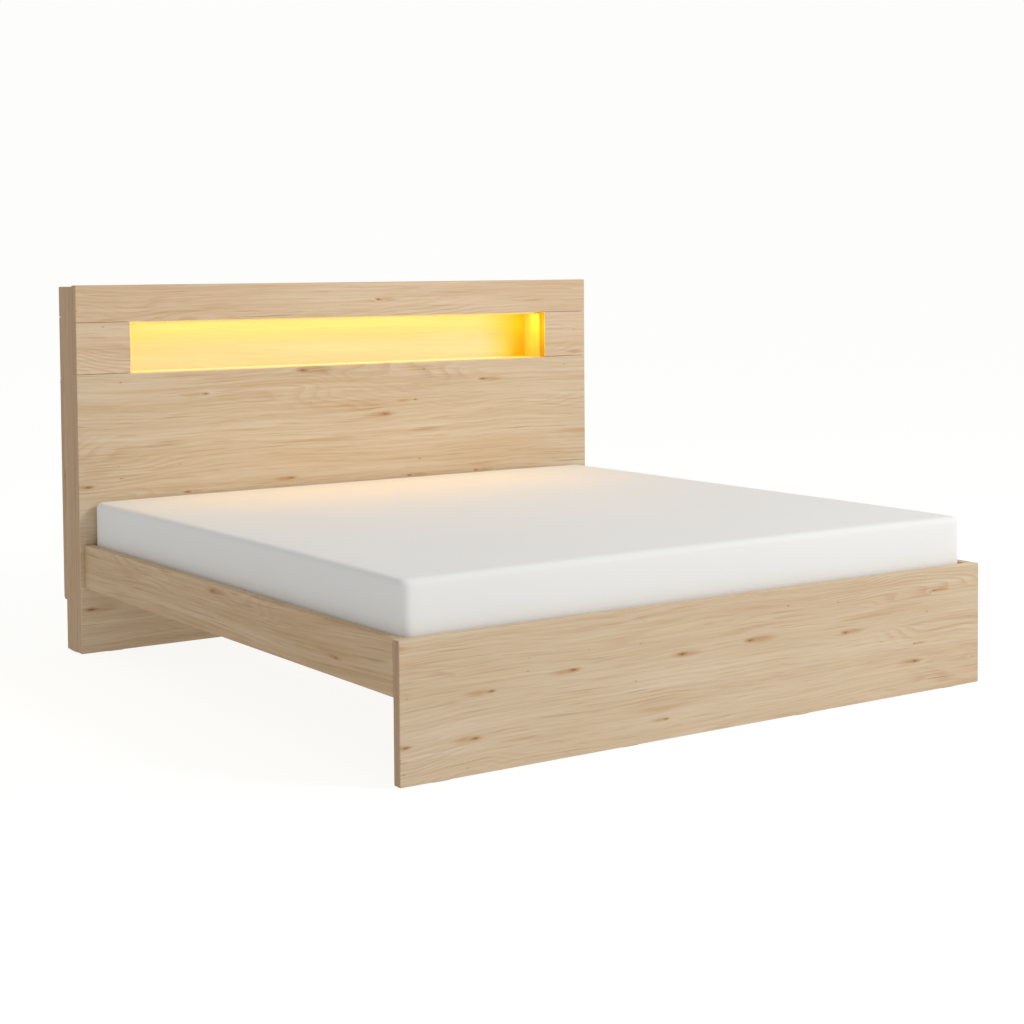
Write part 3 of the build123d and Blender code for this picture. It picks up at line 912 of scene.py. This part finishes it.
def make_levelling_screw(end):
    """The threaded rod of a levelling foot with its hexagon, in place of the plain solid."""
    node = f"levelling_screw_{end}"
    low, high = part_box(node)
    middle = (low + high) / 2
    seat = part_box(f"levelling_pad_{end}")[1].z
    axis = (middle.x, middle.y, 0)
    rod = (
        (0, low.z),
        (ROD_RADIUS, low.z),
        (ROD_RADIUS, high.z - ROD_TIP_HEIGHT),
        (ROD_TIP_RADIUS, high.z),
        (0, high.z),
    )
    hexagon = [(radius, seat + height) for radius, height in HEXAGON_OUTLINE]
    rise = high.z - seat - THREAD_START - THREAD_STOP
    values = {
        **THREAD,
        "Turns": rise / THREAD_PITCH,
        "Rise": rise,
        "Place": (middle.x, middle.y, seat + THREAD_START),
        "Finish": zinc,
    }
    parts = [turned(rod, ROD_SIDES, axis), turned(hexagon, 6, axis), grown(windings, values)]
    piece = sharp_piece(f"threaded_{node}", joined(node, parts), zinc)
    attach(piece, f"levelling_foot_{end}")
    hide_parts(node)


# A diode has four sides and lies with its base on the strip, in metres
DIODE_OUTLINE = ((0, 0.0), (0.0034, 0.0), (0.0031, 0.0009), (0, 0.0009))
DIODE_PITCH = 0.02


def make_diodes():
    """The row of diodes on the light strip, behind the diffuser."""
    low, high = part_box("light_strip")
    chip = linked("diode", turned(DIODE_OUTLINE, 4))
    count = int((high.x - low.x) / DIODE_PITCH)
    values = {
        "Shape": chip,
        "Count": count,
        "Start": (-DIODE_PITCH * (count - 1) / 2, (low.y + high.y) / 2, low.z),
        "Step": (DIODE_PITCH, 0.0, 0.0),
        "Turn": (math.pi, 0.0, math.pi / 4),
        "Finish": phosphor,
    }
    mesh = grown(rows, values)
    bpy.data.objects.remove(chip)
    piece = sharp_piece("strip_diodes", mesh, phosphor, 0.2)
    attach(piece, "frame")


make_panel_screws()
make_weld_beads()
for end in ("foot_end", "head_end"):
    make_levelling_screw(end)
make_diodes()


# Mattress

def spread(count, low, high, margin):
    """Places from low to high: even inside, and closer together within a margin of each end."""
    rim = [margin * share for share in MATTRESS_MARGIN_STEPS]
    inner = [low + margin + (high - low - 2 * margin) * step / count for step in range(1, count)]
    return [low + r for r in rim] + inner + [high - r for r in reversed(rim)]


def rounded(place, low, high):
    """A point of a square block moved onto the block's rounded edges and corners."""
    core = Vector(
        min(max(value, a + margin), b - margin)
        for value, a, b, margin in zip(place, low, high, MATTRESS_MARGINS)
    )
    away = place - core
    flat = Vector((away.x, away.y, 0))
    if flat.length > 0:
        flat = flat * (max(abs(flat.x), abs(flat.y)) / flat.length)
    share = min(flat.length / MATTRESS_CORNER, 1.0)
    rise = away.z / MATTRESS_EDGE
    if share > 0 and abs(rise) > 0:
        pull = max(share, abs(rise)) / math.hypot(share, rise)
        inset = MATTRESS_EDGE * (1 - share * pull)
        edge = flat.normalized() * (MATTRESS_CORNER - inset)
        return Vector((core.x + edge.x, core.y + edge.y, core.z + rise * pull * MATTRESS_EDGE))
    return Vector((core.x + flat.x, core.y + flat.y, place.z))


def make_mattress():
    """A foam mattress in a knit cover: round edges, drawn-in sides, a crown and soft waves."""
    low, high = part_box("mattress")
    size = high - low
    middle = (low + high) / 2
    counts = [max(2, round(length / MATTRESS_CELL)) for length in size]
    lines = [
        spread(count, a, b, margin)
        for count, a, b, margin in zip(counts, low, high, MATTRESS_MARGINS)
    ]
    mesh = bmesh.new()
    found = {}

    def vertex(index):
        if index not in found:
            place = Vector(lines[axis][index[axis]] for axis in range(3))
            found[index] = mesh.verts.new(rounded(place, low, high))
        return found[index]

    for axis in range(3):
        first, second = [other for other in range(3) if other != axis]
        for end in (0, len(lines[axis]) - 1):
            for i in range(len(lines[first]) - 1):
                for j in range(len(lines[second]) - 1):
                    corner = []
                    for di, dj in ((0, 0), (1, 0), (1, 1), (0, 1)):
                        index = [0, 0, 0]
                        index[axis] = end
                        index[first] = i + di
                        index[second] = j + dj
                        corner.append(vertex(tuple(index)))
                    mesh.faces.new(corner)
    for point in mesh.verts:
        place = point.co
        x = (place.x - middle.x) / (size.x / 2)
        y = (place.y - middle.y) / (size.y / 2)
        z = (place.z - middle.z) / (size.z / 2)
        upper = max(0.0, z)
        place.z -= MATTRESS_CROWN * upper**3 * (x**4 + y**4) / 2
        draw_in = MATTRESS_DRAW_IN * (1 - 0.5 * (1 - z**2))
        place.x -= math.copysign(draw_in * (1 - y**2) * abs(x) ** 6, x)
        place.y -= math.copysign(draw_in * (1 - x**2) * abs(y) ** 6, y)
        wave = noise.noise(Vector((place.x * 2.1, place.y * 2.1, place.z * 5)))
        ripple = noise.noise(Vector((place.x * 7, place.y * 7, place.z * 9 + 4)))
        place.z -= upper * ((0.5 + 0.5 * wave) * MATTRESS_WAVE + abs(ripple) * MATTRESS_RIPPLE)
    bmesh.ops.recalc_face_normals(mesh, faces=mesh.faces)
    cover = knitted_cover("white_knit")
    piece = new_piece("mattress_in_knit_cover", plain("mattress_cover", mesh), cover)
    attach(piece, "mattress")
    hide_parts("mattress")


make_mattress()


# Stage, light and camera

def bare_tree(owner):
    """The node tree of a material or a world, with nothing in it yet."""
    owner.use_nodes = True
    tree = Tree(owner.node_tree)
    tree.nodes.clear()
    return tree


def mark_rays(tree):
    """1 where the camera, a mirror or a clear thing looks, 0 for the light that falls on things."""
    path = tree.add("ShaderNodeLightPath").outputs
    seen = tree.math("MAXIMUM", path["Is Camera Ray"], path["Is Glossy Ray"])
    return tree.math("MAXIMUM", seen, path["Is Transmission Ray"])


def make_floor():
    """A wide pale floor: things get its plain bounce, and the camera sees the background's tone
    with a faint shade under the bed."""
    half = FLOOR_SIZE / 2
    mesh = bmesh.new()
    corners = ((-half, -half, 0), (half, -half, 0), (half, half, 0), (-half, half, 0))
    mesh.faces.new([mesh.verts.new(corner) for corner in corners])
    material = bpy.data.materials.new("pale_floor")
    tree = bare_tree(material)
    bare = tree.add("ShaderNodeBsdfDiffuse", {"Color": (FLOOR_TONE, FLOOR_TONE, FLOOR_TONE, 1)})
    glow = tree.add("ShaderNodeEmission", {"Color": (1, 1, 1, 1), "Strength": FLOOR_GLOW})
    matt = tree.add("ShaderNodeAddShader", {0: bare.outputs[0], 1: glow.outputs[0]})
    shade = tuple(part * FLOOR_SHADE_SHARE for part in BACKGROUND)
    veil = tree.add("ShaderNodeBsdfDiffuse", {"Color": (*shade, 1)})
    lit = tuple(part * (1 - FLOOR_SHADE_SHARE * AMBIENT) for part in BACKGROUND)
    white = tree.add("ShaderNodeEmission", {"Color": (*lit, 1), "Strength": 1.0})
    pale = tree.add("ShaderNodeAddShader", {0: veil.outputs[0], 1: white.outputs[0]})
    inputs = {0: mark_rays(tree), 1: matt.outputs[0], 2: pale.outputs[0]}
    either = tree.add("ShaderNodeMixShader", inputs)
    tree.add("ShaderNodeOutputMaterial", {"Surface": either.outputs[0]})
    material.cycles.emission_sampling = "NONE"
    floor = new_piece("studio_floor", plain("studio_floor", mesh), material)


def make_world():
    world = bpy.data.worlds.new("studio")
    tree = bare_tree(world)
    soft = tree.add("ShaderNodeBackground", {"Color": (1, 1, 1, 1), "Strength": AMBIENT})
    white = tree.add("ShaderNodeBackground", {"Color": (*BACKGROUND, 1), "Strength": 1.0})
    inputs = {0: mark_rays(tree), 1: soft.outputs[0], 2: white.outputs[0]}
    either = tree.add("ShaderNodeMixShader", inputs)
    tree.add("ShaderNodeOutputWorld", {"Surface": either.outputs[0]})
    bpy.context.scene.world = world


def area_light(name, place, aim, size, power, colour=(1, 1, 1), size_y=None):
    data = bpy.data.lights.new(name, "AREA")
    data.energy = power
    data.color = colour
    data.size = size
    if size_y:
        data.shape = "RECTANGLE"
        data.size_y = size_y
    lamp = linked(name, data)
    lamp.location = place
    lamp.rotation_euler = (aim - place).to_track_quat("-Z", "Y").to_euler()
    return lamp


def make_niche_glow():
    """The diffuser's light, as long lamps: most goes down and to the niche's back from under the
    diffuser, and the rest leaves by the opening's upper edge and falls on what stands below."""
    low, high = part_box("light_diffuser")
    edge_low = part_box("headboard_top_board")[0]
    for count, lamp in enumerate(GLOW_LAMPS):
        if lamp.get("front"):
            place = Vector((0, edge_low.y + FRONT_LAMP_INSET, edge_low.z - FRONT_LAMP_INSET))
            width = FRONT_LAMP_WIDTH
        else:
            place = Vector((0, (low.y + high.y) / 2, low.z - GLOW_DROP))
            width = high.y - low.y
        below = place - Vector((0, 0, 1))
        length = high.x - low.x - 2 * lamp["gap"]
        light = area_light(
            f"niche_glow_{count}", place, below, length, lamp["power"], lamp["colour"], width
        )
        light.rotation_euler = (lamp["tilt"], 0, 0)
        light.data.spread = lamp.get("spread", math.pi)
        light.visible_camera = False


def make_end_glow():
    """What the diffuser's ends throw on the niche's end walls and the cut edges before them."""
    low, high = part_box("light_diffuser")
    front = low.y - END_GLOW_FRONT
    for side, word in ((-1, "left"), (1, "right")):
        wall = side * high.x
        place = Vector((wall - side * END_GLOW_REACH, front, low.z - END_GLOW_DROP))
        aim = Vector((wall, front, low.z - END_GLOW_AIM_DROP))
        light = area_light(
            f"end_glow_{word}", place, aim, END_GLOW_SIZE, END_GLOW_POWER, END_GLOW_COLOUR
        )
        light.data.spread = END_GLOW_SPREAD
        light.visible_camera = False


def make_camera():
    """The photograph's camera: it looks along the yaw and down by the pitch, and then rolls."""
    sin_yaw, cos_yaw = math.sin(CAMERA_YAW), math.cos(CAMERA_YAW)
    sin_pitch, cos_pitch = math.sin(CAMERA_PITCH), math.cos(CAMERA_PITCH)
    forward = Vector((sin_yaw * cos_pitch, cos_yaw * cos_pitch, -sin_pitch))
    right = Vector((cos_yaw, -sin_yaw, 0))
    down = forward.cross(right)
    across = math.cos(CAMERA_ROLL) * right + math.sin(CAMERA_ROLL) * down
    lower = math.cos(CAMERA_ROLL) * down - math.sin(CAMERA_ROLL) * right
    turn = Matrix((across, -lower, -forward)).transposed()
    data = bpy.data.cameras.new("photograph_view")
    data.sensor_width = CAMERA_SENSOR
    data.lens = CAMERA_LENS
    data.shift_y = CAMERA_SHIFT_Y
    data.clip_end = CAMERA_CLIP
    camera = linked("photograph_view", data)
    camera.matrix_world = Matrix.Translation(CAMERA_PLACE) @ turn.to_4x4()
    bpy.context.scene.camera = camera


make_floor()
make_world()
area_light("key_light", KEY_PLACE, KEY_AIM, KEY_SIZE, KEY_POWER)
make_niche_glow()
make_end_glow()
make_camera()
bpy.context.scene.view_settings.view_transform = "Standard"
